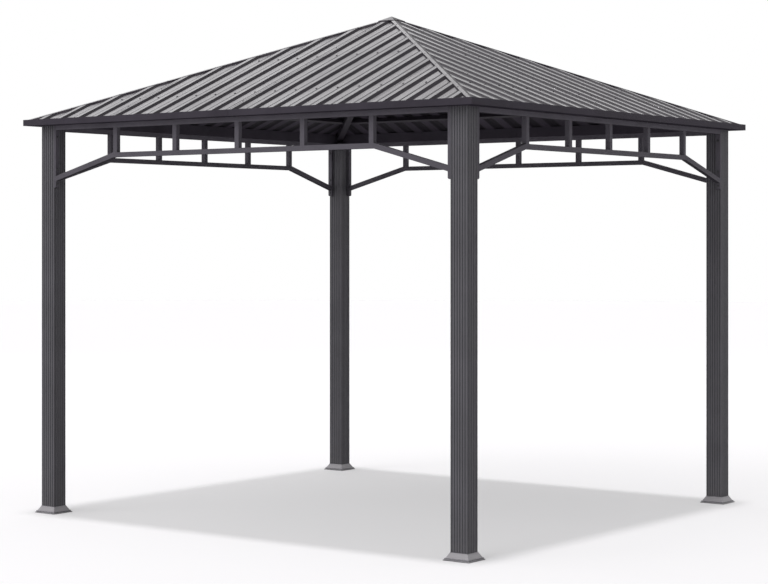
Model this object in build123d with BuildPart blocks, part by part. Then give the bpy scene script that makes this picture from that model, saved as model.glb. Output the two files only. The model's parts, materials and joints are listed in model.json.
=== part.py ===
from build123d import *
from math import atan, cos, degrees, radians, sin, sqrt, tan
import os

# Square hard-top gazebo in powder-coated metal. Millimetres, +Z up.
# The origin is on the ground under the middle of the roof. The front is the -Y side.

# Plan
roof_width = 3000.0
eave_overhang = 74.0
post_width = 96.0

# Posts
post_wall = 3.0
post_edge_radius = 2.5
flute_count = 6
flute_pitch = 15.0
flute_width = 7.0
flute_depth = 2.0

# Feet
plate_reach = 19.0
plate_thickness = 5.0
anchor_offset = 6.0
anchor_hole_radius = 5.5
cover_wall = 1.2
cover_clearance = 0.3
cover_plate_clearance = 1.3
cover_ledge = 5.0
cover_ledge_height = 5.0
cover_shoulder = 4.0
cover_shoulder_height = 7.0
cover_slope_height = 25.0
cover_collar_height = 2.0

# Side trusses
rail_top = 2195.0
tube = 27.0
tube_wall = 1.5
strut_height = 137.0
strut_width = 28.0
strut_depth = 27.0
struts_each_side = 5
brace_run = 439.0
brace_angle = 15.6
end_upright_width = 15.0
end_upright_depth = 28.0
end_upright_drop = 37.9
end_upright_chamfer = 6.0

# Fascia channel round the eaves
fascia_wall = 2.0
fascia_inset = 7.0
fascia_lip = 10.0
fascia_lip_clearance = 0.8
fascia_shelf = 10.0
fascia_shelf_height = 17.6
fascia_joint_gap = 1.0

# Roof
slope_angle = 22.24
sheet = 1.0
sheet_edge_gap = 1.0
sheet_hip_gap = 2.0
rib_pitch = 137.2
rib_top_width = 34.0
rib_base_width = 84.0
rib_height = 7.8
front_rib_shift = -11.0
right_rib_shift = -6.0
hip_cap_width = 33.0
hip_cap_sheet = 1.2
hip_cap_gap = 0.5
hip_cap_lip = 2.0
apex_cap_width = 112.0
apex_cap_skirt = 2.5
apex_cap_rise = 26.0
apex_cap_tip = 3.0
apex_cap_sheet = 1.5
rafter_width = 40.0
rafter_depth = 40.0
rafter_wall = 2.0
hub_width = 76.0
hub_height = 54.0
hub_wall = 3.0
purlin_size = 25.0
purlin_wall = 1.5
lower_purlin_inset = 202.0
purlin_spacing = 550.0

# Worked-out plan
half_roof = roof_width / 2
post_outer = half_roof - eave_overhang
post_centre = post_outer - post_width / 2
post_inner = post_outer - post_width
post_spacing = 2 * post_centre
truss_end = post_inner - end_upright_width
bend = truss_end - brace_run
outer_strut = bend - strut_width / 2
strut_pitch = 2 * outer_strut / (struts_each_side - 1)
fascia_inner = post_outer - tube - fascia_inset
sheet_edge = half_roof - fascia_wall - sheet_edge_gap
lower_purlin_reach = fascia_inner - lower_purlin_inset
upper_purlin_reach = lower_purlin_reach - purlin_spacing

# Worked-out heights
rail_bottom = rail_top - tube
chord_top = rail_bottom - strut_height
chord_bottom = chord_top - tube
slope = tan(radians(slope_angle))
upright_share = 1 / cos(radians(slope_angle))
pan_peak = rail_top + fascia_shelf_height + slope * sheet_edge
ridge_top = pan_peak + (sheet + rib_height + hip_cap_sheet) * upright_share
fascia_top = ridge_top - slope * (half_roof - fascia_lip) + fascia_lip_clearance + fascia_wall
hip_angle = degrees(atan(slope / sqrt(2)))
hip_drop = slope * cos(radians(hip_angle)) / sqrt(2)

sides = {"front": 0, "right": 90, "back": 180, "left": 270}
corners = {"front_right": 0, "back_right": 90, "back_left": 180, "front_left": 270}
rib_shifts = {"front": front_rib_shift, "right": right_rib_shift}
rib_shifts.update({"back": front_rib_shift, "left": right_rib_shift})


def pan_underside(reach):
    """Height of the roof sheet's underside, at a plan distance from the middle towards an eave."""
    return pan_peak - slope * reach


def purlin_middle(reach):
    """Middle of a purlin's section, outwards and up, with its top face against the roof sheet."""
    inwards = purlin_size / 2 * sin(radians(slope_angle))
    down = purlin_size / 2 * cos(radians(slope_angle))
    return (reach - inwards, pan_underside(reach) - down)


def side_plan(angle):
    """Plan seen from above with X along the side's eave and -Y outwards."""
    return Plane.XY.rotated((0, 0, angle))


def side_elevation(angle, reach):
    """A side seen from outside, with X along the eave, Y up and the normal outwards."""
    out = Vector(0, -1, 0).rotate(Axis.Z, angle)
    along = Vector(1, 0, 0).rotate(Axis.Z, angle)
    return Plane(origin=out * reach, x_dir=along, z_dir=out)


def side_section(angle):
    """A cut square to a side's eave at its middle, with X outwards and Y up."""
    out = Vector(0, -1, 0).rotate(Axis.Z, angle)
    along = Vector(1, 0, 0).rotate(Axis.Z, angle)
    return Plane(origin=(0, 0, 0), x_dir=out, z_dir=-along)


def slope_section(angle):
    """A cut square to a side's slope at the peak, with X along the eave and Y out of the roof."""
    out = Vector(0, -1, 0).rotate(Axis.Z, angle)
    along = Vector(1, 0, 0).rotate(Axis.Z, angle)
    downhill = out * cos(radians(slope_angle)) - Vector(0, 0, 1) * sin(radians(slope_angle))
    return Plane(origin=(0, 0, pan_peak), x_dir=along, z_dir=downhill)


def hip_section(angle, peak):
    """A cut square to a hip at the middle of the roof, with X level across the hip."""
    out = Vector(1, -1, 0).normalized().rotate(Axis.Z, angle)
    across = Vector(1, 1, 0).normalized().rotate(Axis.Z, angle)
    downhill = out * cos(radians(hip_angle)) - Vector(0, 0, 1) * sin(radians(hip_angle))
    return Plane(origin=(0, 0, peak), x_dir=across, z_dir=downhill)


def side_wedge(angle, gap):
    """The room over one side of the plan, kept a gap along the eave from the hips."""
    with BuildPart(mode=Mode.PRIVATE) as wedge:
        with BuildSketch(side_plan(angle).offset(rail_top)):
            Polygon((0, -gap), (half_roof - gap, -half_roof), (gap - half_roof, -half_roof), align=None)
        extrude(amount=ridge_top - rail_top)
    return wedge.part


def sheet_top_line(side):
    """Top line of a side's ribbed sheet, across the slope from left to right."""
    ribs_each_way = int(half_roof / rib_pitch) + 1
    sheet_reach = half_roof + 2 * rib_pitch
    line = [(-sheet_reach, sheet)]
    for count in range(-ribs_each_way, ribs_each_way + 1):
        middle = rib_shifts[side] + count * rib_pitch
        line.append((middle - rib_base_width / 2, sheet))
        line.append((middle - rib_top_width / 2, sheet + rib_height))
        line.append((middle + rib_top_width / 2, sheet + rib_height))
        line.append((middle + rib_base_width / 2, sheet))
    line.append((sheet_reach, sheet))
    return line


def sheet_slope(side, angle, depth, gap):
    """A side's slope under its sheet's top line, a depth thick and kept a gap from the hips."""
    top_line = sheet_top_line(side)
    under_line = [(x, y - depth) for x, y in reversed(top_line)]
    with BuildPart(mode=Mode.PRIVATE) as slope_part:
        with BuildSketch(slope_section(angle)):
            with BuildLine():
                Polyline(*top_line, *under_line, close=True)
            make_face()
        extrude(amount=half_roof * upright_share)
        with BuildSketch(side_plan(angle).offset(rail_top)):
            Polygon((0, -gap), (sheet_edge - gap, -sheet_edge), (gap - sheet_edge, -sheet_edge), align=None)
        extrude(amount=ridge_top - rail_top, mode=Mode.INTERSECT)
    return slope_part.part


def finish(piece, name):
    """Name a finished piece and write it."""
    piece.part.label = name
    export_step(piece.part, f"parts/{name}.step")


os.makedirs("parts", exist_ok=True)

# Posts: hollow square extrusions with flutes down each face
for corner, angle in corners.items():
    post_centre_point = Vector(post_centre, -post_centre, plate_thickness).rotate(Axis.Z, angle)
    with BuildPart() as post:
        with BuildSketch(Plane(origin=post_centre_point)):
            RectangleRounded(post_width, post_width, post_edge_radius)
            Rectangle(post_width - 2 * post_wall, post_width - 2 * post_wall, mode=Mode.SUBTRACT)
            with PolarLocations(post_width / 2, 4):
                with GridLocations(0, flute_pitch, 1, flute_count):
                    Rectangle(2 * flute_depth, flute_width, mode=Mode.SUBTRACT)
        extrude(amount=rail_top - plate_thickness)
    finish(post, f"post_{corner}")

# Base plates: one under each post, with four anchor holes
plate_width = post_width + 2 * plate_reach
anchor_spacing = post_width + 2 * anchor_offset
with BuildPart() as base_plates:
    with BuildSketch():
        with GridLocations(post_spacing, post_spacing, 2, 2):
            Rectangle(plate_width, plate_width)
            with GridLocations(anchor_spacing, anchor_spacing, 2, 2):
                Circle(anchor_hole_radius, mode=Mode.SUBTRACT)
    extrude(amount=plate_thickness)
finish(base_plates, "base_plates")

# Foot covers: stepped pyramid shells that slide down the posts
collar_width = post_width + 2 * (cover_clearance + cover_wall)
step_width = plate_width + 2 * (cover_plate_clearance + cover_wall)
foot_width = step_width + 2 * cover_ledge
slope_width = step_width - 2 * cover_shoulder
slope_bottom = cover_ledge_height + cover_shoulder_height
slope_top = slope_bottom + cover_slope_height
for corner, angle in corners.items():
    foot = Vector(post_centre, -post_centre, 0).rotate(Axis.Z, angle)
    with BuildPart() as cover:
        for width, low, height in (
            (foot_width, 0, cover_ledge_height),
            (step_width, cover_ledge_height, cover_shoulder_height),
            (collar_width, slope_top, cover_collar_height),
        ):
            with BuildSketch(Plane(origin=foot + Vector(0, 0, low))):
                Rectangle(width, width)
                Rectangle(width - 2 * cover_wall, width - 2 * cover_wall, mode=Mode.SUBTRACT)
            extrude(amount=height)
        for outer, inner, top in (
            (foot_width, step_width, cover_ledge_height),
            (step_width, slope_width, slope_bottom),
        ):
            with BuildSketch(Plane(origin=foot + Vector(0, 0, top - cover_wall))):
                Rectangle(outer, outer)
                Rectangle(inner - 2 * cover_wall, inner - 2 * cover_wall, mode=Mode.SUBTRACT)
            extrude(amount=cover_wall)
        for thinner, mode in ((0, Mode.ADD), (cover_wall, Mode.SUBTRACT)):
            with BuildSketch(Plane(origin=foot + Vector(0, 0, slope_bottom))):
                Rectangle(slope_width - 2 * thinner, slope_width - 2 * thinner)
            with BuildSketch(Plane(origin=foot + Vector(0, 0, slope_top))):
                Rectangle(collar_width - 2 * thinner, collar_width - 2 * thinner)
            loft(mode=mode)
    finish(cover, f"foot_cover_{corner}")

# Side trusses
chord_middle = chord_top - tube / 2
brace_foot = chord_middle - brace_run * tan(radians(brace_angle))
mitre = tube / 2 * tan(radians(brace_angle / 2))
brace_upright = tube / 2 / cos(radians(brace_angle))
end_upright_foot = brace_foot - brace_upright - end_upright_drop
wall_upright = (tube / 2 - tube_wall) / cos(radians(brace_angle))
mitre_inside = (tube / 2 - tube_wall) * tan(radians(brace_angle / 2))
for side, angle in sides.items():
    with BuildPart() as top_rail:
        with BuildSketch(side_section(angle)):
            with Locations((post_outer - tube / 2, rail_top - tube / 2)):
                Rectangle(tube, tube)
                Rectangle(tube - 2 * tube_wall, tube - 2 * tube_wall, mode=Mode.SUBTRACT)
        extrude(amount=truss_end, both=True)
    finish(top_rail, f"{side}_top_rail")

    with BuildPart() as chord:
        with BuildSketch(side_elevation(angle, post_outer)):
            Polygon(
                (-bend - mitre, chord_top),
                (bend + mitre, chord_top),
                (bend - mitre, chord_bottom),
                (-bend + mitre, chord_bottom),
                align=None,
            )
        extrude(amount=-tube)
        with BuildSketch(side_elevation(angle, post_outer - tube_wall)):
            Polygon(
                (-bend - mitre_inside, chord_top - tube_wall),
                (bend + mitre_inside, chord_top - tube_wall),
                (bend - mitre_inside, chord_bottom + tube_wall),
                (-bend + mitre_inside, chord_bottom + tube_wall),
                align=None,
            )
        extrude(amount=-(tube - 2 * tube_wall), mode=Mode.SUBTRACT)
    finish(chord, f"{side}_bottom_chord")

    with BuildPart() as braces:
        for hand in (-1, 1):
            with BuildSketch(side_elevation(angle, post_outer)):
                Polygon(
                    (hand * (bend + mitre), chord_top),
                    (hand * truss_end, brace_foot + brace_upright),
                    (hand * truss_end, brace_foot - brace_upright),
                    (hand * (bend - mitre), chord_bottom),
                    align=None,
                )
            extrude(amount=-tube)
            with BuildSketch(side_elevation(angle, post_outer - tube_wall)):
                Polygon(
                    (hand * (bend + mitre_inside), chord_top - tube_wall),
                    (hand * truss_end, brace_foot + wall_upright),
                    (hand * truss_end, brace_foot - wall_upright),
                    (hand * (bend - mitre_inside), chord_bottom + tube_wall),
                    align=None,
                )
            extrude(amount=-(tube - 2 * tube_wall), mode=Mode.SUBTRACT)
    finish(braces, f"{side}_knee_braces")

    with BuildPart() as uprights:
        strut_middle = post_outer - strut_depth / 2
        with BuildSketch(side_plan(angle).offset(chord_top)):
            with Locations((0, -strut_middle)):
                with GridLocations(strut_pitch, 1, struts_each_side, 1):
                    Rectangle(strut_width, strut_depth)
                    Rectangle(strut_width - 2 * tube_wall, strut_depth - 2 * tube_wall, mode=Mode.SUBTRACT)
        extrude(amount=rail_bottom - chord_top)
        for hand in (-1, 1):
            with BuildSketch(side_elevation(angle, post_outer)):
                Polygon(
                    (hand * post_inner, rail_top),
                    (hand * truss_end, rail_top),
                    (hand * truss_end, end_upright_foot + end_upright_chamfer),
                    (hand * (truss_end + end_upright_chamfer), end_upright_foot),
                    (hand * post_inner, end_upright_foot),
                    align=None,
                )
            extrude(amount=-end_upright_depth)
    finish(uprights, f"{side}_struts")

# Fascia: a channel on the rails and posts, with a lip over the sheet's edge and a shelf under it
shelf_top = pan_underside(sheet_edge)
for side, angle in sides.items():
    with BuildPart() as fascia:
        with BuildSketch(side_section(angle)):
            with BuildLine():
                Polyline(
                    (half_roof, rail_top),
                    (half_roof, fascia_top),
                    (half_roof - fascia_lip, fascia_top),
                    (half_roof - fascia_lip, fascia_top - fascia_wall),
                    (half_roof - fascia_wall, fascia_top - fascia_wall),
                    (half_roof - fascia_wall, shelf_top),
                    (half_roof - fascia_shelf, shelf_top),
                    (half_roof - fascia_shelf, shelf_top - fascia_wall),
                    (half_roof - fascia_wall, shelf_top - fascia_wall),
                    (half_roof - fascia_wall, rail_top + fascia_wall),
                    (fascia_inner + fascia_wall, rail_top + fascia_wall),
                    (fascia_inner + fascia_wall, pan_underside(fascia_inner + fascia_wall)),
                    (fascia_inner, pan_underside(fascia_inner)),
                    (fascia_inner, rail_top),
                    close=True,
                )
            make_face()
        extrude(amount=half_roof, both=True)
        with BuildSketch(side_plan(angle).offset(rail_top)):
            Polygon((0, 0), (half_roof, -half_roof), (-half_roof, -half_roof), align=None)
            with Locations((0, -half_roof)):
                Rectangle(fascia_joint_gap, roof_width, mode=Mode.SUBTRACT)
        extrude(amount=ridge_top - rail_top, mode=Mode.INTERSECT)
    finish(fascia, f"{side}_fascia")

# Hip rafters: tubes from the fascia's inner corners up to the hub
rafter_top = -hip_drop * rafter_width / 2
rafter_length = fascia_inner * sqrt(2) / cos(radians(hip_angle)) + rafter_depth
for corner, angle in corners.items():
    with BuildPart() as rafter:
        with BuildSketch(hip_section(angle, pan_peak)):
            with Locations((0, rafter_top - rafter_depth / 2)):
                Rectangle(rafter_width, rafter_depth)
                Rectangle(rafter_width - 2 * rafter_wall, rafter_depth - 2 * rafter_wall, mode=Mode.SUBTRACT)
        extrude(amount=rafter_length)
        with BuildSketch(side_plan(angle).offset(rail_top)):
            with Locations((fascia_inner / 2, -fascia_inner / 2)):
                Rectangle(fascia_inner, fascia_inner)
            Rectangle(hub_width, hub_width, rotation=45, mode=Mode.SUBTRACT)
        extrude(amount=ridge_top - rail_top, mode=Mode.INTERSECT)
    finish(rafter, f"hip_rafter_{corner}")

# Hub: a short square tube between the rafters' upper ends
hub_top = pan_underside(hub_width / sqrt(2))
with BuildPart() as hub:
    with BuildSketch(Plane.XY.offset(hub_top - hub_height)):
        Rectangle(hub_width, hub_width, rotation=45)
        Rectangle(hub_width - 2 * hub_wall, hub_width - 2 * hub_wall, rotation=45, mode=Mode.SUBTRACT)
    extrude(amount=hub_height)
finish(hub, "rafter_hub")

# Purlins: two rings of tubes under the sheets, cut between the hip rafters
for ring, reach in (("lower", lower_purlin_reach), ("upper", upper_purlin_reach)):
    with BuildPart() as purlins:
        for angle in sides.values():
            with BuildSketch(side_section(angle)):
                with Locations(purlin_middle(reach)):
                    Rectangle(purlin_size, purlin_size, rotation=-slope_angle)
                    hollow = purlin_size - 2 * purlin_wall
                    Rectangle(hollow, hollow, rotation=-slope_angle, mode=Mode.SUBTRACT)
            whole = extrude(amount=reach, both=True, mode=Mode.PRIVATE)
            add(whole & side_wedge(angle, rafter_width / sqrt(2)))
    finish(purlins, f"{ring}_purlins")

# Roof panels: trapezoidal sheet with ribs that run down the slope, cut along the hips
for side, angle in sides.items():
    with BuildPart() as panel:
        add(sheet_slope(side, angle, sheet, sheet_hip_gap))
    finish(panel, f"{side}_roof_panel")

# Hip caps: folded strips on the rib tops, with a lip under each edge that fills in between the ribs
cap_half = hip_cap_width / 2
cap_fall = hip_drop * cap_half
cap_under = hip_cap_sheet * upright_share * cos(radians(hip_angle))
lip_depth = (rib_height + 2 * sheet) * upright_share + cap_under
lip_fall = hip_drop * (cap_half - hip_cap_lip)
hip_length = half_roof * sqrt(2) / cos(radians(hip_angle))
slope_bodies = [sheet_slope(side, angle, 2 * lip_depth, 0) for side, angle in sides.items()]
for corner, angle in corners.items():
    with BuildPart() as hip_cap:
        with BuildSketch(hip_section(angle, ridge_top)):
            for hand in (-1, 1):
                Polygon(
                    (hand * (cap_half - hip_cap_lip), -lip_fall - cap_under / 2),
                    (hand * cap_half, -cap_fall - cap_under / 2),
                    (hand * cap_half, -cap_fall - lip_depth),
                    (hand * (cap_half - hip_cap_lip), -cap_fall - lip_depth),
                    align=None,
                )
        extrude(amount=hip_length)
        for slope_body in slope_bodies:
            add(slope_body, mode=Mode.SUBTRACT)
        with BuildSketch(hip_section(angle, ridge_top)):
            Polygon(
                (-cap_half, -cap_fall),
                (0, 0),
                (cap_half, -cap_fall),
                (cap_half, -cap_fall - cap_under),
                (0, -cap_under),
                (-cap_half, -cap_fall - cap_under),
                align=None,
            )
        extrude(amount=hip_length)
        with BuildSketch(side_plan(angle).offset(rail_top)):
            with Locations(((sheet_edge + hip_cap_gap) / 2, -(sheet_edge + hip_cap_gap) / 2)):
                Rectangle(sheet_edge - hip_cap_gap, sheet_edge - hip_cap_gap)
        extrude(amount=ridge_top - rail_top + hip_cap_sheet, mode=Mode.INTERSECT)
    finish(hip_cap, f"hip_cap_{corner}")

# Apex cap: a small pyramid with a skirt, seated on the ends of the hip caps
cap_inside = apex_cap_width - 2 * apex_cap_sheet
cap_seat = ridge_top - slope * cap_inside / 2
cap_shoulder = cap_seat + apex_cap_skirt
with BuildPart() as apex_cap:
    with BuildSketch(Plane.XY.offset(cap_seat)):
        Rectangle(apex_cap_width, apex_cap_width)
    extrude(amount=apex_cap_skirt)
    with BuildSketch(Plane.XY.offset(cap_shoulder)):
        Rectangle(apex_cap_width, apex_cap_width)
    with BuildSketch(Plane.XY.offset(cap_shoulder + apex_cap_rise)):
        Rectangle(apex_cap_tip, apex_cap_tip)
    loft()
    with BuildSketch(Plane.XY.offset(cap_seat)):
        Rectangle(cap_inside, cap_inside)
    extrude(amount=apex_cap_skirt, mode=Mode.SUBTRACT)
    with BuildSketch(Plane.XY.offset(cap_shoulder)):
        Rectangle(cap_inside, cap_inside)
    with BuildSketch(Plane.XY.offset(cap_shoulder + apex_cap_rise - apex_cap_sheet)):
        Rectangle(apex_cap_tip / 2, apex_cap_tip / 2)
    loft(mode=Mode.SUBTRACT)
finish(apex_cap, "apex_cap")
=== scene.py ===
import bmesh
import bpy
import json
from math import atan, cos, pi, radians, sin, sqrt, tan
from mathutils import Matrix, Vector


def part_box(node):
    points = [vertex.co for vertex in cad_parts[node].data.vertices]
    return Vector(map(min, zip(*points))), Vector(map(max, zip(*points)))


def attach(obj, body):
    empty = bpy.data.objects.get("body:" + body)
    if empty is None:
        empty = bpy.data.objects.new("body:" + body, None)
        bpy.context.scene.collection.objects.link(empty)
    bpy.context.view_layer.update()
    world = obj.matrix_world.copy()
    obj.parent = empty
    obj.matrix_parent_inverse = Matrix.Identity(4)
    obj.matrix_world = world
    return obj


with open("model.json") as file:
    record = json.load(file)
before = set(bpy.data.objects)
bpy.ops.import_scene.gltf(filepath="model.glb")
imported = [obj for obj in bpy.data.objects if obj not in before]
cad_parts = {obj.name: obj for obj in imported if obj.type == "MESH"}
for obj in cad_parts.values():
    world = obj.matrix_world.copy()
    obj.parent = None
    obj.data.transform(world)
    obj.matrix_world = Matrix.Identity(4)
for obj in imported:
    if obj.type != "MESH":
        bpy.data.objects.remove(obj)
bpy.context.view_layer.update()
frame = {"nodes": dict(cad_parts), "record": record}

# The photograph's frame and the view that it was taken from
photo_width = 768
photo_height = 584
focal_px = 2025.91
principal_px = (250.0, 239.19)
sensor_width = 36.0
camera_place = (6.6922, -9.6777, 1.5522)
camera_azimuth = radians(38.662)

# Roof sheet, in metres
slope_angle = radians(22.24)
sheet = 0.001
rib_pitch = 0.1372
rib_top_width = 0.034
rib_base_width = 0.084
rib_height = 0.0078
front_rib_shift = -0.011
right_rib_shift = -0.006

# Sections of the tubes and where the knee braces bend
tube = 0.027
strut_width = 0.028
struts_each_side = 5
brace_angle = radians(15.6)
rafter_width = 0.040
purlin_size = 0.025

# Sides and corners by the turn that brings the front, or the front right corner, to them
sides = {"front": 0, "right": 90, "back": 180, "left": 270}
corners = {"front_right": 0, "back_right": 90, "back_left": 180, "front_left": 270}
rib_shifts = {"front": front_rib_shift, "back": front_rib_shift}
rib_shifts.update({"right": right_rib_shift, "left": right_rib_shift})

# Places read from the frame
sheet_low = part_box("front_roof_panel")[0]
sheet_edge = -sheet_low.y
slope = tan(slope_angle)
pan_peak = sheet_low.z + slope * sheet_edge + sheet / cos(slope_angle)
post_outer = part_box("post_front_right")[1].x
rail_low, rail_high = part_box("front_top_rail")
chord_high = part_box("front_bottom_chord")[1]
strut_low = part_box("front_struts")[0]
brace_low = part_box("front_knee_braces")[0]
fascia_low, fascia_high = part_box("front_fascia")
hub_low, hub_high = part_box("rafter_hub")
hip_cap_low, hip_cap_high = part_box("hip_cap_front_right")
apex_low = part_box("apex_cap")[0]
truss_end = rail_high.x
bend = chord_high.x - tube / 2 * tan(brace_angle / 2)
brace_half = tube / 2 / cos(brace_angle)
brace_foot = brace_low.z + brace_half

# The front right hip's directions, and how far it falls for each metre in plan
hip_angle = atan(slope / sqrt(2))
hip_fall = slope / sqrt(2)
hip_out = Vector((1, -1, 0)).normalized()
hip_across = Vector((1, 1, 0)).normalized()
hip_downhill = hip_out * cos(hip_angle) - Vector((0, 0, 1)) * sin(hip_angle)
hip_up = hip_out * sin(hip_angle) + Vector((0, 0, 1)) * cos(hip_angle)


# Node helpers

def new_material(name):
    """A node material with nothing in it yet."""
    material = bpy.data.materials.new(name)
    material.use_nodes = True
    tree = material.node_tree
    tree.nodes.clear()
    return material, tree


def node(tree, kind, **settings):
    """A new node with its settings."""
    made = tree.nodes.new(kind)
    for key, value in settings.items():
        setattr(made, key, value)
    return made


def join(tree, source, target):
    """Link an output to an input."""
    tree.links.new(source, target)


def calculate(tree, operation, first, second):
    """One step of arithmetic on two values, each a number or another node's output."""
    made = node(tree, "ShaderNodeMath", operation=operation)
    for socket, value in zip(made.inputs, (first, second)):
        if isinstance(value, (int, float)):
            socket.default_value = value
        else:
            join(tree, value, socket)
    return made.outputs["Value"]


def noise(tree, coords, scale, detail=2.0, roughness=0.5, stretch=(1, 1, 1)):
    """Noise over the object's own metres, stretched by a scale along each axis."""
    mapping = node(tree, "ShaderNodeMapping")
    mapping.inputs["Scale"].default_value = stretch
    join(tree, coords, mapping.inputs["Vector"])
    made = node(tree, "ShaderNodeTexNoise")
    made.inputs["Scale"].default_value = scale
    made.inputs["Detail"].default_value = detail
    made.inputs["Roughness"].default_value = roughness
    join(tree, mapping.outputs["Vector"], made.inputs["Vector"])
    return made.outputs["Fac"]


def spread(tree, value, low, high, out_low, out_high):
    """Map a value's range onto another."""
    made = node(tree, "ShaderNodeMapRange")
    made.inputs["From Min"].default_value = low
    made.inputs["From Max"].default_value = high
    made.inputs["To Min"].default_value = out_low
    made.inputs["To Max"].default_value = out_high
    join(tree, value, made.inputs["Value"])
    return made.outputs["Result"]


def noise_share(tree, value):
    """Noise spread over its usual range, from 0 to 1."""
    return spread(tree, value, 0.3, 0.7, 0, 1)


def blend_colours(tree, factor, first, second):
    """Mix two colours; each is a colour or another node's output."""
    made = node(tree, "ShaderNodeMix", data_type="RGBA")
    join(tree, factor, made.inputs["Factor"])
    for value, name in ((first, "A"), (second, "B")):
        socket = [s for s in made.inputs if s.name == name and s.type == "RGBA"][0]
        if isinstance(value, tuple):
            socket.default_value = (*value, 1)
        else:
            join(tree, value, socket)
    return [s for s in made.outputs if s.type == "RGBA"][0]


def blend_shaders(tree, factor, first, second):
    """Mix two surfaces; the factor is the second one's share."""
    made = node(tree, "ShaderNodeMixShader")
    join(tree, factor, made.inputs["Fac"])
    join(tree, first, made.inputs[1])
    join(tree, second, made.inputs[2])
    return made.outputs["Shader"]


def bump(tree, height, distance, strength, normal=None):
    """A normal roughened by a height, over another normal if there is one."""
    made = node(tree, "ShaderNodeBump")
    made.inputs["Distance"].default_value = distance
    made.inputs["Strength"].default_value = strength
    join(tree, height, made.inputs["Height"])
    if normal is not None:
        join(tree, normal, made.inputs["Normal"])
    return made.outputs["Normal"]


def coated(tree, colour, roughness, normal, specular, gloss_tint=(1, 1, 1)):
    """A painted surface; colour, roughness and normal come from other nodes."""
    shader = node(tree, "ShaderNodeBsdfPrincipled")
    shader.inputs["Specular IOR Level"].default_value = specular
    shader.inputs["Specular Tint"].default_value = (*gloss_tint, 1)
    join(tree, colour, shader.inputs["Base Color"])
    join(tree, roughness, shader.inputs["Roughness"])
    join(tree, normal, shader.inputs["Normal"])
    return shader.outputs["BSDF"]


def show(tree, shader):
    """Make a shader the material's surface."""
    output = node(tree, "ShaderNodeOutputMaterial")
    join(tree, shader, output.inputs["Surface"])


def shades(colour, *shares):
    """A colour made darker or paler by each share."""
    return [tuple(c * share for c in colour) for share in shares]


def true_normal(tree):
    """X, Y and Z of the way that the surface itself faces."""
    geometry = node(tree, "ShaderNodeNewGeometry")
    facing = node(tree, "ShaderNodeSeparateXYZ")
    join(tree, geometry.outputs["True Normal"], facing.inputs["Vector"])
    return facing.outputs["X"], facing.outputs["Y"], facing.outputs["Z"]


# How well the softened and true normals agree on a flat and at an edge, and how open a face and a groove are
edge_dots = (0.995, 0.8)
groove_openness = (0.98, 0.78)


def edge_share(tree, radius):
    """How near a point is to an edge, from 0 on a flat to about 1 at the edge, and the softened normal."""
    soft = node(tree, "ShaderNodeBevel", samples=4)
    soft.inputs["Radius"].default_value = radius
    geometry = node(tree, "ShaderNodeNewGeometry")
    dot = node(tree, "ShaderNodeVectorMath", operation="DOT_PRODUCT")
    join(tree, soft.outputs["Normal"], dot.inputs[0])
    join(tree, geometry.outputs["Normal"], dot.inputs[1])
    return spread(tree, dot.outputs["Value"], *edge_dots, 0, 1), soft.outputs["Normal"]


def groove_share(tree, reach):
    """How deep a point lies in a groove or corner, from 0 in the open to about 1."""
    shelter = node(tree, "ShaderNodeAmbientOcclusion", samples=8, only_local=True)
    shelter.inputs["Distance"].default_value = reach
    return spread(tree, shelter.outputs["AO"], *groove_openness, 0, 1)


# Powder coat: noise scales in cycles a metre, depths and heights in metres, shades as shares of the colour
mottle_scale = 5.0
mottle_shares = (0.86, 1.14)
speck_scale = 900.0
speck_share = 1.6
peel_scale = 260.0
peel_depth = 0.00008
# Painted shade in grooves: the colour's share there and how strongly it shows
groove_shade_share = 0.25
groove_shade_strength = 0.88
# Painted highlight on the faces that look up: its darker and paler shares
top_highlight_shares = (0.9, 1.08)
dust_colour = (0.22, 0.21, 0.20)
dust_height = 0.22
dust_patch_scale = 34.0


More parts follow.
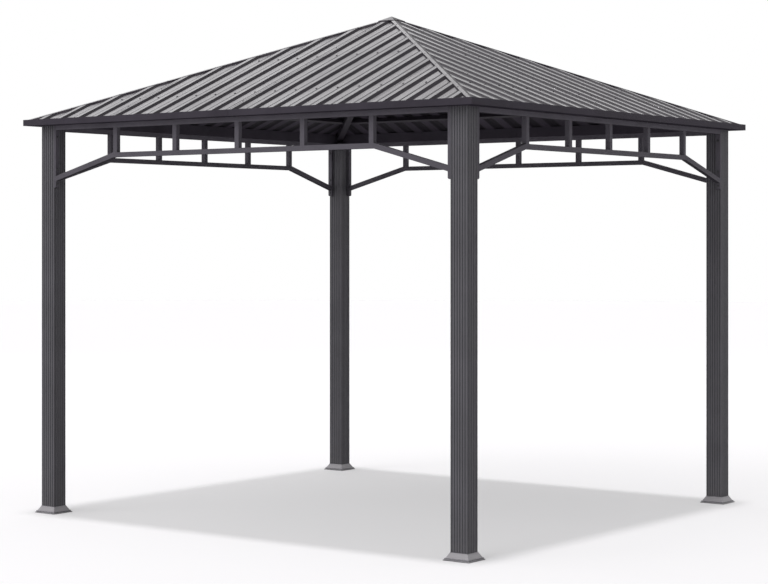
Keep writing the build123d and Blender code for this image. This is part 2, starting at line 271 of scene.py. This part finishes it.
def powder_coat(name, colour, roughness, stretch=(1, 1, 1), edge=0.0012, specular=0.5, dust=0.0,
                worn=1.9, groove=0.0, film_and_top_highlight=None, under=None, edge_gain=0.5):
    """Fine-grained powder coat with a mottled shade, orange peel and softened edges.

    worn is the edges' share of the colour, and edge_gain how strongly it shows; the paler edges are wear,
    and where worn is large, as on the foot covers, a painted highlight. groove is how far, in metres, the
    painted shade in grooves reaches. dust is how much lies on the foot. film is the colour of a painted
    highlight on the faces that look up. under is the share of the colour on the faces that look down,
    which are matt: a painted shade.
    """
    material, tree = new_material(name)
    coords = node(tree, "ShaderNodeTexCoord").outputs["Object"]
    mottle = noise(tree, coords, mottle_scale, 3.0)
    grain = noise(tree, coords, speck_scale, 1.0)
    peel = noise(tree, coords, peel_scale, 2.0, stretch=stretch)
    dark, pale, speck, rubbed_and_highlight, groove_shade = shades(colour, *mottle_shares, speck_share, worn, groove_shade_share)
    shade = blend_colours(tree, noise_share(tree, mottle), dark, pale)
    shade = blend_colours(tree, spread(tree, grain, 0.62, 0.78, 0, 0.5), shade, speck)
    # Painted shade: the more sheltered a groove, the darker it is painted
    if groove:
        groove_shade_amount = calculate(tree, "MULTIPLY", groove_share(tree, groove), groove_shade_strength)
        shade = blend_colours(tree, groove_shade_amount, shade, groove_shade)
    share, soft_normal = edge_share(tree, edge)
    # Painted highlight: faces that look up get a much paler colour
    if film_and_top_highlight:
        highlight_dim, highlight_bright = shades(film_and_top_highlight, *top_highlight_shares)
        painted_top_highlight = blend_colours(tree, noise_share(tree, mottle), highlight_dim, highlight_bright)
        upwards = spread(tree, true_normal(tree)[2], 0.25, 0.5, 0, 1)
        shade = blend_colours(tree, upwards, shade, painted_top_highlight)
    # Paler edges: wear, and where the share is large, as on the foot covers, a painted highlight
    shade = blend_colours(tree, calculate(tree, "MULTIPLY", share, edge_gain), shade, rubbed_and_highlight)
    if dust:
        height = node(tree, "ShaderNodeSeparateXYZ")
        join(tree, coords, height.inputs["Vector"])
        low = spread(tree, height.outputs["Z"], dust_height, 0.0, 0, dust)
        patch = spread(tree, noise(tree, coords, dust_patch_scale, 4.0, 0.6), 0.35, 0.7, 0.2, 1)
        shade = blend_colours(tree, calculate(tree, "MULTIPLY", low, patch), shade, dust_colour)
    rough = spread(tree, mottle, 0.3, 0.7, roughness - 0.05, roughness + 0.07)
    normal = bump(tree, peel, peel_depth, 0.5, soft_normal)
    surface = coated(tree, shade, rough, normal, specular)
    # Painted shade: faces that look down get a darker, matt colour
    if under:
        underside_shade_dark, underside_shade_pale = shades(colour, under * 0.85, under * 1.15)
        painted_underside_shade = blend_colours(tree, noise_share(tree, mottle), underside_shade_dark, underside_shade_pale)
        downwards = spread(tree, true_normal(tree)[2], -0.5, -0.85, 0, 1)
        surface = blend_shaders(tree, downwards, surface, coated(tree, painted_underside_shade, rough, normal, 0.0))
    show(tree, surface)
    return material


# Where the matt coat with painted shade starts and ends, from the edges of a rib's hollow, top and foot
hollow_fade = 0.008
top_fade = (0.0035, 0.0015)
foot_fade = (0.006, 0.003)


def rib_flanks(tree, coords, along, rib_place):
    """Two masks of the ribs: 1 on their sloping sides alone, and 1 all the way across each."""
    place = node(tree, "ShaderNodeSeparateXYZ")
    join(tree, coords, place.inputs["Vector"])
    from_rib = calculate(tree, "SUBTRACT", place.outputs[along], rib_place)
    from_rib = calculate(tree, "PINGPONG", from_rib, rib_pitch / 2)
    half_top = rib_top_width / 2
    half_base = rib_base_width / 2
    hollow = spread(tree, from_rib, half_base, half_base - hollow_fade, 0, 1)
    top_side = spread(tree, from_rib, half_top - top_fade[0], half_top - top_fade[1], 0, 1)
    foot_side = spread(tree, from_rib, half_base + foot_fade[0], half_base - foot_fade[1], 0, 1)
    return calculate(tree, "MULTIPLY", top_side, foot_side), hollow


# Coated sheet: noise scales in cycles a metre, the noise's stretch down the slope, and depths in metres
sheet_colour = (0.048, 0.0435, 0.051)
# Painted shade: the darker colour of the ribs' sides
painted_flank_shade_colour = (0.027, 0.024, 0.029)
back_colour = (0.036, 0.030, 0.041)
sheet_gloss_tint = (0.98, 0.88, 1.0)
sheet_roughness = 0.27
streak_scale = 150.0
wide_streak_scale = 26.0
cloud_scale = 2.6
sheet_grain_scale = 800.0
sheet_grain_depth = 0.00004
matt_grain_depth = 0.00005
dent_scale = 7.0
dent_depth = 0.0011
sheet_edge_radius = 0.0015
slope_stretches = (0.02, 0.06, 0.35)


def roof_coat(name, along="X", rib_place=None, flank_shade_share=1.0):
    """Coated sheet: satin with faint run-off streaks; matt with painted shade on the ribs' sides, and matt
    underneath with painted shade in the ribs' hollows.

    Without a rib's place it is flat trim, and the matt coat, with painted shade, goes on the faces that look
    mostly along X.
    """
    material, tree = new_material(name)
    coords = node(tree, "ShaderNodeTexCoord").outputs["Object"]
    fine, wide, dented = ((1, s, s) if along == "X" else (s, 1, s) for s in slope_stretches)
    streaks = noise(tree, coords, streak_scale, 3.0, 0.6, fine)
    wide_streaks = noise(tree, coords, wide_streak_scale, 3.0, 0.55, wide)
    cloud = noise(tree, coords, cloud_scale, 3.0, 0.55)
    grain = noise(tree, coords, sheet_grain_scale, 1.0)
    dark, pale, film_and_top_highlight = shades(sheet_colour, 0.78, 1.22, 1.75)
    shade = blend_colours(tree, noise_share(tree, cloud), dark, pale)
    shade = blend_colours(tree, spread(tree, wide_streaks, 0.5, 0.75, 0, 0.6), shade, film_and_top_highlight)
    shade = blend_colours(tree, spread(tree, streaks, 0.55, 0.75, 0, 0.45), shade, film_and_top_highlight)
    soft_normal = edge_share(tree, sheet_edge_radius)[1]
    streak_rough = spread(tree, streaks, 0.3, 0.75, sheet_roughness - 0.04, sheet_roughness + 0.06)
    rough = calculate(tree, "ADD", streak_rough, spread(tree, cloud, 0.35, 0.7, -0.03, 0.05))
    dents = noise(tree, coords, dent_scale, 2.0, 0.5, dented)
    normal = bump(tree, dents, dent_depth, 0.35, soft_normal)
    normal = bump(tree, grain, sheet_grain_depth, 0.4, normal)
    outside = coated(tree, shade, rough, normal, 0.5, sheet_gloss_tint)
    matt_normal = bump(tree, grain, matt_grain_depth, 0.4, soft_normal)
    flank_dark, flank_pale = shades(painted_flank_shade_colour, 0.8, 1.2)
    flank_shade = blend_colours(tree, noise_share(tree, wide_streaks), flank_dark, flank_pale)
    flank = coated(tree, flank_shade, spread(tree, streaks, 0.3, 0.75, 0.55, 0.7), matt_normal, 0.05)
    facing_x, facing_y, facing_z = true_normal(tree)
    if rib_place is not None:
        flank_shade_mask, hollow = rib_flanks(tree, coords, along, rib_place)
    else:
        flank_shade_mask = calculate(tree, "GREATER_THAN", calculate(tree, "ABSOLUTE", facing_x, 0),
                               calculate(tree, "ABSOLUTE", facing_y, 0))
    # Painted shade on the ribs' sides, or on the trim's faces that look along X
    outside = blend_shaders(tree, calculate(tree, "MULTIPLY", flank_shade_mask, flank_shade_share), outside, flank)
    back_dark, back_pale, painted_hollow_shade = shades(back_colour, 0.95, 1.35, 0.35)
    back_shade = blend_colours(tree, noise_share(tree, cloud), back_dark, back_pale)
    # Painted shade inside the ribs' hollows, seen from below
    if rib_place is not None:
        back_shade = blend_colours(tree, hollow, back_shade, painted_hollow_shade)
    under = coated(tree, back_shade, spread(tree, streaks, 0.3, 0.75, 0.7, 0.85), matt_normal, 0.15)
    downwards = calculate(tree, "LESS_THAN", facing_z, 0.0)
    show(tree, blend_shaders(tree, downwards, outside, under))
    return material


# Painted shade: the front and back slopes get the full darker rib sides, the right and left ones less
sheet_paints = {
    "front": roof_coat("sheet_coat_front", "X", rib_shifts["front"], 1.0),
    "right": roof_coat("sheet_coat_right", "Y", rib_shifts["right"], 0.4),
    "back": roof_coat("sheet_coat_back", "X", -rib_shifts["back"], 1.0),
    "left": roof_coat("sheet_coat_left", "Y", -rib_shifts["left"], 0.4),
}
slot_paint = {
    # The posts: painted shade in their grooves, and pale dust on their foot
    "post_paint": powder_coat("post_powder_coat", (0.121, 0.117, 0.131), 0.45, stretch=(1, 1, 0.03),
                              specular=0.3, dust=0.2, groove=0.008),
    # Frame and fascia: painted shade on the faces that look down
    "frame_paint": powder_coat("frame_powder_coat", (0.122, 0.114, 0.133), 0.52, specular=0.08, worn=1.1,
                               under=0.5),
    "fascia_paint": powder_coat("fascia_powder_coat", (0.060, 0.053, 0.067), 0.52, specular=0.05, worn=1.0,
                                under=0.85),
    # The foot covers: a painted highlight on the faces that look up and on the edges
    "cover_paint": powder_coat("cover_powder_coat", (0.105, 0.101, 0.109), 0.34, edge=0.0050, worn=6.6,
                               film_and_top_highlight=(0.425, 0.408, 0.430), edge_gain=1.0),
    "plate_paint": powder_coat("plate_powder_coat", (0.045, 0.045, 0.050), 0.50),
    # The caps: painted shade on their faces that look along X
    "cap_paint": roof_coat("cap_coat", flank_shade_share=0.8),
}
# Painted shade: a darker copy of the frame's paint for the rafters, purlins and their brackets under the roof
shaded_rafter_paint = powder_coat("rafter_powder_coat", (0.025, 0.021, 0.028), 0.60, specular=0.15, worn=1.4)
# Painted light: a paler copy of the frame's paint for the top rails, under the eave's shade
lit_rail_paint = powder_coat("rail_powder_coat", (0.145, 0.135, 0.158), 0.52, specular=0.08, worn=1.1,
                          under=0.45)
fixing_paint = powder_coat("fixing_powder_coat", (0.040, 0.040, 0.044), 0.38, edge=0.0006)
weld_paint = powder_coat("weld_powder_coat", (0.044, 0.044, 0.048), 0.42, edge=0.0004, specular=0.35)


def node_paint(name, slot):
    """A CAD node's paint: most have their slot's, and slopes their own. Rafters and purlins have a darker
    paint, a painted shade, and top rails a paler one, a painted light.
    """
    if slot == "roof_sheet":
        return sheet_paints[name.replace("_roof_panel", "")]
    if "rafter" in name or "purlins" in name:
        return shaded_rafter_paint
    if "top_rail" in name:
        return lit_rail_paint
    return slot_paint[slot]


for row in frame["record"]["subparts"]:
    shown = frame["nodes"][row["node"]]
    shown.data.materials.clear()
    shown.data.materials.append(node_paint(row["node"], row["material_slot"]))


# Mesh helpers

def turned(bm, place, profile, segments):
    """A closed turned solid from (radius, height) pairs, about the local Z axis of place."""
    rings = []
    for radius, height in profile:
        ring = []
        for step in range(segments):
            angle = 2 * pi * step / segments
            ring.append(bm.verts.new(place @ Vector((radius * cos(angle), radius * sin(angle), height))))
        rings.append(ring)
    for low, high in zip(rings, rings[1:]):
        for step in range(segments):
            after = (step + 1) % segments
            bm.faces.new((low[step], low[after], high[after], high[step]))
    bm.faces.new(list(reversed(rings[0])))
    bm.faces.new(rings[-1])


def prism(bm, place, outline, start, end):
    """A closed prism: an outline in local X and Z, extruded along local Y."""
    near = [bm.verts.new(place @ Vector((x, start, z))) for x, z in outline]
    far = [bm.verts.new(place @ Vector((x, end, z))) for x, z in outline]
    for i in range(len(outline)):
        j = (i + 1) % len(outline)
        bm.faces.new((near[i], near[j], far[j], far[i]))
    bm.faces.new(list(reversed(near)))
    bm.faces.new(far)


def plate(bm, place, low, high, chamfer):
    """A closed plate between two local corners, with chamfered corners seen along local Y."""
    (x0, y0, z0), (x1, y1, z1) = low, high
    outline = ((x0 + chamfer, z0), (x1 - chamfer, z0), (x1, z0 + chamfer), (x1, z1 - chamfer),
               (x1 - chamfer, z1), (x0 + chamfer, z1), (x0, z1 - chamfer), (x0, z0 + chamfer))
    prism(bm, place, outline, y0, y1)


def piece(name, bm, paint):
    """Turn a finished bmesh into a painted piece that rides on the root body."""
    bmesh.ops.recalc_face_normals(bm, faces=bm.faces)
    mesh = bpy.data.meshes.new(name)
    bm.to_mesh(mesh)
    bm.free()
    mesh.materials.append(paint)
    made = bpy.data.objects.new(name, mesh)
    bpy.context.scene.collection.objects.link(made)
    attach(made, "root")


def side_frame(side):
    """Local X along a side's eave, -Y outwards, Z up."""
    return Matrix.Rotation(radians(sides[side]), 4, "Z")


def corner_frame(corner):
    """The turn from the front right corner to another."""
    return Matrix.Rotation(radians(corners[corner]), 4, "Z")


def slope_frame(side):
    """On a slope's pans, from the peak: local X along the eave, -Y down the slope, Z out of the sheet."""
    return (side_frame(side) @ Matrix.Translation((0, 0, pan_peak))
            @ Matrix.Rotation(slope_angle, 4, "X"))


def aimed(origin, along, up):
    """A frame at a point with its local X along one direction and its local Z along another, square to it."""
    across = Vector(up).cross(Vector(along))
    turn = Matrix((Vector(along), across, Vector(up))).transposed().to_4x4()
    return Matrix.Translation(origin) @ turn


# Fixings: a washer with a head on it, six-sided for bolts and roof screws or domed for rivets
washer_share = 1.65
washer_height = 0.0014
washer_segments = 16
rivet_segments = 14
head_sink = 0.0003


def hex_head(bm, place, radius, height_share=0.9):
    """A hexagon head on a washer, standing on the local XY plane."""
    height = radius * height_share
    turned(bm, place, ((radius * washer_share, -head_sink), (radius * washer_share, washer_height * 0.6),
                       (radius * (washer_share - 0.25), washer_height)), washer_segments)
    turned(bm, place, ((radius * 1.12, washer_height * 0.9), (radius * 1.12, washer_height * 1.3),
                       (radius, washer_height * 1.3), (radius, washer_height + height * 0.85),
                       (radius * 0.82, washer_height + height)), 6)


def rivet_head(bm, place, radius):
    """A low domed head on the local XY plane, with the small hole of its pin."""
    turned(bm, place, ((radius, -head_sink), (radius, radius * 0.12), (radius * 0.85, radius * 0.32),
                       (radius * 0.55, radius * 0.45), (radius * 0.3, radius * 0.48),
                       (radius * 0.26, radius * 0.25), (radius * 0.1, radius * 0.22)), rivet_segments)


# Weld beads: quarter-round runs with a ripple, in the corner between two plates
bead_leg = 0.0026
ripple_length = 0.0036
ripple_depth = 0.10
ripple_steps = 4


def weld(bm, place, length):
    """A bead along local X, centred, in the corner between local +Y and +Z."""
    steps = max(ripple_steps, round(length / ripple_length) * ripple_steps)
    sections = []
    for step in range(steps + 1):
        radius = bead_leg * (1 - ripple_depth + ripple_depth * cos(2 * pi * step / ripple_steps))
        x = -length / 2 + length * step / steps
        arc = [(radius * cos(radians(a)), radius * sin(radians(a))) for a in (0, 30, 60, 90)]
        sections.append([bm.verts.new(place @ Vector((x, y, z))) for y, z in [(0, 0)] + arc])
    for near, far in zip(sections, sections[1:]):
        for i in range(len(near)):
            j = (i + 1) % len(near)
            bm.faces.new((near[i], near[j], far[j], far[i]))
    bm.faces.new(list(reversed(sections[0])))
    bm.faces.new(sections[-1])


# Roof screws: on the pans over the upper purlin, over the lower purlin and along the eave
screw_radius = 0.0036
screw_height_share = 0.55
screw_reaches = (0.632, 1.187, 1.462)
screw_offset = 0.012


def rib_middles(side, reach):
    """Where the ribs sit along the eave, as far as the slope is wide at a reach."""
    count = int(sheet_edge / rib_pitch) + 1
    for step in range(-count, count + 1):
        middle = rib_shifts[side] + step * rib_pitch
        if abs(middle) < reach - rib_base_width:
            yield middle


for side in sides:
    heads = bmesh.new()
    for reach in screw_reaches:
        for middle in rib_middles(side, reach + rib_pitch):
            along = middle - rib_pitch / 2 + screw_offset
            if abs(along) < reach - rib_base_width:
                spot = Matrix.Translation((along, -reach / cos(slope_angle), 0))
                hex_head(heads, slope_frame(side) @ spot, screw_radius, screw_height_share)
    piece(f"{side}_roof_screws", heads, slot_paint["cap_paint"])


# Sheet laps: where one sheet of a slope ends over the next, its edge covers a rib's side and the pan's rim
first_lap = 4
lap_every = 6
lap_sheet = 0.0006
lap_on_pan = 0.011
lap_cap_gap = 0.030
lap_edge_gap = 0.014
stitch_pitch = 0.30
stitch_radius = 0.0030

for side in sides:
    laps = bmesh.new()
    stitches = bmesh.new()
    place = slope_frame(side)
    for middle in list(rib_middles(side, sheet_edge))[first_lap::lap_every]:
        hand = 1 if middle > 0 else -1
        half_top = rib_top_width / 2
        half_base = rib_base_width / 2
        under = [(0, rib_height), (half_top, rib_height), (half_base, 0), (half_base + lap_on_pan, 0)]
        over = [(x, z + lap_sheet) for x, z in reversed(under)]
        outline = [(middle + hand * x, z) for x, z in under + over]
        start = (abs(middle) + half_base + lap_on_pan + lap_cap_gap) / cos(slope_angle)
        end = (sheet_edge - lap_edge_gap) / cos(slope_angle)
        prism(laps, place, outline, -start, -end)
        down = start + stitch_pitch / 2
        while down < end:
            spot = Matrix.Translation((middle + hand * half_top / 2, -down, rib_height + lap_sheet))
            rivet_head(stitches, place @ spot, stitch_radius)
            down += stitch_pitch
    piece(f"{side}_sheet_laps", laps, sheet_paints[side])
    piece(f"{side}_lap_rivets", stitches, slot_paint["cap_paint"])


# Hip cap rivets: in pairs either side of each hip's fold
cap_rivet_radius = 0.0028
cap_rivet_pitch = 0.275
cap_rivet_across = 0.0095
cap_rivet_start = 0.20
cap_ridge = hip_cap_high.z + slope * hip_cap_low.x

cap_rivet_count = int((hip_cap_high.x * sqrt(2) - cap_rivet_start) / cap_rivet_pitch) + 1

for corner in corners:
    rivets = bmesh.new()
    for step in range(cap_rivet_count):
        reach = cap_rivet_start + step * cap_rivet_pitch
        for hand in (-1, 1):
            spot = hip_out * reach + hip_across * hand * cap_rivet_across
            spot.z = cap_ridge - hip_fall * reach - hip_fall * cap_rivet_across
            facing = hip_downhill.cross(hip_across * hand + Vector((0, 0, -hip_fall))).normalized()
            if facing.z < 0:
                facing = -facing
            place = aimed(spot, hip_downhill, facing)
            rivet_head(rivets, corner_frame(corner) @ place, cap_rivet_radius)
    piece(f"hip_cap_rivets_{corner}", rivets, slot_paint["cap_paint"])


# Truss bolts: through each end upright into the post, with their heads towards the middle of the side
truss_bolt_radius = 0.0048
truss_bolt_depth = 0.014
low_bolt_height = 0.021
bolt_gap = 0.040
bolt_heights = (strut_low.z + low_bolt_height, brace_foot + bolt_gap + brace_half, rail_low.z - bolt_gap)

for side in sides:
    bolts = bmesh.new()
    for hand in (-1, 1):
        for height in bolt_heights:
            spot = (hand * truss_end, truss_bolt_depth - post_outer, height)
            hex_head(bolts, side_frame(side) @ aimed(spot, (0, 1, 0), (-hand, 0, 0)), truss_bolt_radius)
    piece(f"{side}_truss_bolts", bolts, fixing_paint)


# Truss welds: across both ends of each strut, and where the rails and braces meet the end uprights
strut_pitch = 2 * (bend - strut_width / 2) / (struts_each_side - 1)
weld_length = tube - 2 * bead_leg
middle_depth = tube / 2 - post_outer

for side in sides:
    beads = bmesh.new()
    for hand in (-1, 1):
        for count in range(struts_each_side):
            edge = (count - (struts_each_side - 1) / 2) * strut_pitch + hand * strut_width / 2
            for height, up in ((chord_high.z, 1), (rail_low.z, -1)):
                place = aimed((edge, middle_depth, height), (0, -hand * up, 0), (0, 0, up))
                weld(beads, side_frame(side) @ place, weld_length)
        under_rail = aimed((hand * truss_end, middle_depth, rail_low.z), (0, -hand, 0), (0, 0, -1))
        weld(beads, side_frame(side) @ under_rail, weld_length)
        for up in (1, -1):
            corner_place = (hand * truss_end, middle_depth, brace_foot + up * brace_half)
            facing = (up * hand * sin(brace_angle), 0, up * cos(brace_angle))
            weld(beads, side_frame(side) @ aimed(corner_place, (0, hand * up, 0), facing), weld_length)
    piece(f"{side}_truss_welds", beads, weld_paint)


# Purlin brackets: a plate on the rafter's side round each purlin's end, with a bolt at each end of it
bracket_reach = 0.031
bracket_below = 0.021
bracket_above = 0.010
bracket_plate = 0.002
bracket_chamfer = 0.003
bracket_bolt_reach = 0.0245
bracket_bolt_radius = 0.0032
purlin_inset = 0.202
purlin_spacing = 0.550
lower_reach = -fascia_high.y - purlin_inset
bracket_low = (-bracket_reach, 0, -bracket_below)
bracket_high = (bracket_reach, bracket_plate, bracket_above)

for corner in corners:
    plates = bmesh.new()
    bolts = bmesh.new()
    spin = corner_frame(corner)
    for reach in (lower_reach, lower_reach - purlin_spacing):
        out_reach = reach - purlin_size / 2 * sin(slope_angle)
        height = pan_peak - slope * reach - purlin_size / 2 * cos(slope_angle) - sheet / cos(slope_angle)
        for hand in (-1, 1):
            away = hip_across * hand
            centre = hip_out * (out_reach - rafter_width / sqrt(2) / 2) * sqrt(2) + away * rafter_width / 2
            centre.z = height
            turn_to_side = Matrix((hip_downhill, away, hip_up)).transposed().to_4x4()
            place = spin @ Matrix.Translation(centre) @ turn_to_side
            plate(plates, place, bracket_low, bracket_high, bracket_chamfer)
            for end in (-1, 1):
                spot = centre + hip_downhill * end * bracket_bolt_reach + away * bracket_plate
                spot -= hip_up * (bracket_below - bracket_above) / 2
                hex_head(bolts, spin @ aimed(spot, hip_downhill, away), bracket_bolt_radius)
    piece(f"purlin_brackets_{corner}", plates, shaded_rafter_paint)
    piece(f"purlin_bolts_{corner}", bolts, fixing_paint)


# Hub bolts: either side of each rafter's end, on the hub's faces
hub_half = hub_high.x / sqrt(2)
hub_bolt_across = 0.029
hub_bolt_radius = 0.0038
hub_middle = (hub_low.z + hub_high.z) / 2

bolts = bmesh.new()
for corner in corners:
    for hand in (-1, 1):
        spot = hip_out * hub_half + hip_across * hand * hub_bolt_across
        spot.z = hub_middle
        hex_head(bolts, corner_frame(corner) @ aimed(spot, hip_across, hip_out), hub_bolt_radius)
piece("hub_bolts", bolts, fixing_paint)


# Fascia rivets: under the soffit, either side of the joint in the middle of each eave
fascia_rivet_radius = 0.0030
fascia_rivet_along = 0.016
fascia_rivet_shares = (0.25, 0.75)
soffit_width = -fascia_low.y - post_outer

for side in sides:
    rivets = bmesh.new()
    for hand in (-1, 1):
        for share in fascia_rivet_shares:
            spot = (hand * fascia_rivet_along, -post_outer - share * soffit_width, fascia_low.z)
            rivet_head(rivets, side_frame(side) @ aimed(spot, (1, 0, 0), (0, 0, -1)), fascia_rivet_radius)
    piece(f"{side}_fascia_rivets", rivets, fixing_paint)


# Apex cap rivets: in pairs along the skirt of the cap
apex_rivet_radius = 0.0011
apex_rivet_height = 0.00125
apex_rivet_along = 0.030

rivets = bmesh.new()
for side in sides:
    for hand in (-1, 1):
        spot = (hand * apex_rivet_along, apex_low.y, apex_low.z + apex_rivet_height)
        rivet_head(rivets, side_frame(side) @ aimed(spot, (1, 0, 0), (0, -1, 0)), apex_rivet_radius)
piece("apex_cap_rivets", rivets, slot_paint["cap_paint"])


# Floor, lights and camera
floor_radius = 40.0
floor_segments = 96
floor_colour = (0.935, 0.918, 0.940)
floor_bounce = (0.45, 0.44, 0.455)
floor_glow = 0.32
near_level = 0.88
far_level = 0.24
near_side = (-0.78, -0.62, 0)
bright_below = radians(38)
dim_above = radians(52)
overhead_level = 0.35


def is_seen(tree):
    """1 for camera, glossy and transmission rays."""
    path = node(tree, "ShaderNodeLightPath")
    total = calculate(tree, "MAXIMUM", path.outputs["Is Camera Ray"], path.outputs["Is Glossy Ray"])
    return calculate(tree, "MAXIMUM", total, path.outputs["Is Transmission Ray"])


def make_floor():
    """A round pale floor that glows a little to the camera and dims the light that it throws back."""
    bm = bmesh.new()
    bmesh.ops.create_circle(bm, cap_ends=True, radius=floor_radius, segments=floor_segments)
    mesh = bpy.data.meshes.new("floor")
    bm.to_mesh(mesh)
    bm.free()
    floor = bpy.data.objects.new("floor", mesh)
    bpy.context.scene.collection.objects.link(floor)
    material, tree = new_material("floor_white")
    plain = node(tree, "ShaderNodeBsdfDiffuse")
    shade = blend_colours(tree, is_seen(tree), floor_bounce, floor_colour)
    join(tree, shade, plain.inputs["Color"])
    glow = node(tree, "ShaderNodeEmission")
    glow.inputs["Color"].default_value = (1, 1, 1, 1)
    share = calculate(tree, "MULTIPLY", is_seen(tree), floor_glow)
    show(tree, blend_shaders(tree, share, plain.outputs["BSDF"], glow.outputs["Emission"]))
    mesh.materials.append(material)


def make_world():
    """White to the camera and in gloss, dimmer overhead; the light itself is softly graded in plan."""
    world = bpy.data.worlds.new("studio")
    bpy.context.scene.world = world
    world.use_nodes = True
    tree = world.node_tree
    tree.nodes.clear()
    facing = node(tree, "ShaderNodeSeparateXYZ")
    towards = node(tree, "ShaderNodeTexCoord").outputs["Generated"]
    join(tree, towards, facing.inputs["Vector"])
    near = node(tree, "ShaderNodeVectorMath", operation="DOT_PRODUCT")
    join(tree, towards, near.inputs[0])
    near.inputs[1].default_value = near_side
    seen = spread(tree, facing.outputs["Z"], sin(bright_below), sin(dim_above), 1, overhead_level)
    strength = node(tree, "ShaderNodeMix", data_type="FLOAT")
    join(tree, is_seen(tree), strength.inputs["Factor"])
    join(tree, spread(tree, near.outputs["Value"], -1, 1, far_level, near_level), strength.inputs["A"])
    join(tree, seen, strength.inputs["B"])
    background = node(tree, "ShaderNodeBackground")
    background.inputs["Color"].default_value = (1, 1, 1, 1)
    join(tree, strength.outputs["Result"], background.inputs["Strength"])
    output = node(tree, "ShaderNodeOutputWorld")
    join(tree, background.outputs["Background"], output.inputs["Surface"])


def direction(azimuth, elevation):
    """A direction by its turn from +Y towards -X and its height over the horizon, in degrees."""
    level = cos(radians(elevation))
    return Vector((-level * sin(radians(azimuth)), level * cos(radians(azimuth)), sin(radians(elevation))))


def make_sun(name, towards, level, spread_angle):
    """A distant lamp in a direction, as wide as its spread."""
    lamp = bpy.data.lights.new(name, "SUN")
    lamp.energy = level * pi
    lamp.angle = radians(spread_angle)
    sun = bpy.data.objects.new(name, lamp)
    sun.rotation_euler = towards.to_track_quat("Z", "Y").to_euler()
    bpy.context.scene.collection.objects.link(sun)


def make_panel(name, towards, distance, size, brightness):
    """A large soft lamp that faces the roof; brightness 1 looks white in gloss."""
    lamp = bpy.data.lights.new(name, "AREA")
    lamp.shape = "RECTANGLE"
    lamp.size, lamp.size_y = size
    lamp.energy = brightness * pi * size[0] * size[1]
    panel = bpy.data.objects.new(name, lamp)
    panel.location = Vector((0, 0, pan_peak)) + towards * distance
    panel.rotation_euler = towards.to_track_quat("Z", "Y").to_euler()
    panel.visible_camera = False
    bpy.context.scene.collection.objects.link(panel)


def make_camera():
    """A level camera with its lens shifted, as the photograph was taken."""
    data = bpy.data.cameras.new("camera")
    data.sensor_width = sensor_width
    data.lens = focal_px * sensor_width / photo_width
    data.shift_x = (photo_width / 2 - principal_px[0]) / photo_width
    data.shift_y = (principal_px[1] - photo_height / 2) / photo_width
    camera = bpy.data.objects.new("camera", data)
    camera.location = camera_place
    camera.rotation_euler = (pi / 2, 0, camera_azimuth)
    bpy.context.scene.collection.objects.link(camera)
    bpy.context.scene.camera = camera


make_floor()
make_world()
make_sun("key", direction(0, 90), level=0.40, spread_angle=5)
make_sun("fill", direction(165, 34), level=0.20, spread_angle=50)
make_panel("back_panel", direction(50, 28), distance=14.0, size=(10.5, 4.5), brightness=1.0)
make_panel("side_panel", direction(18, 14), distance=14.0, size=(6.0, 4.0), brightness=0.35)
make_camera()
bpy.context.scene.view_settings.view_transform = "Standard"
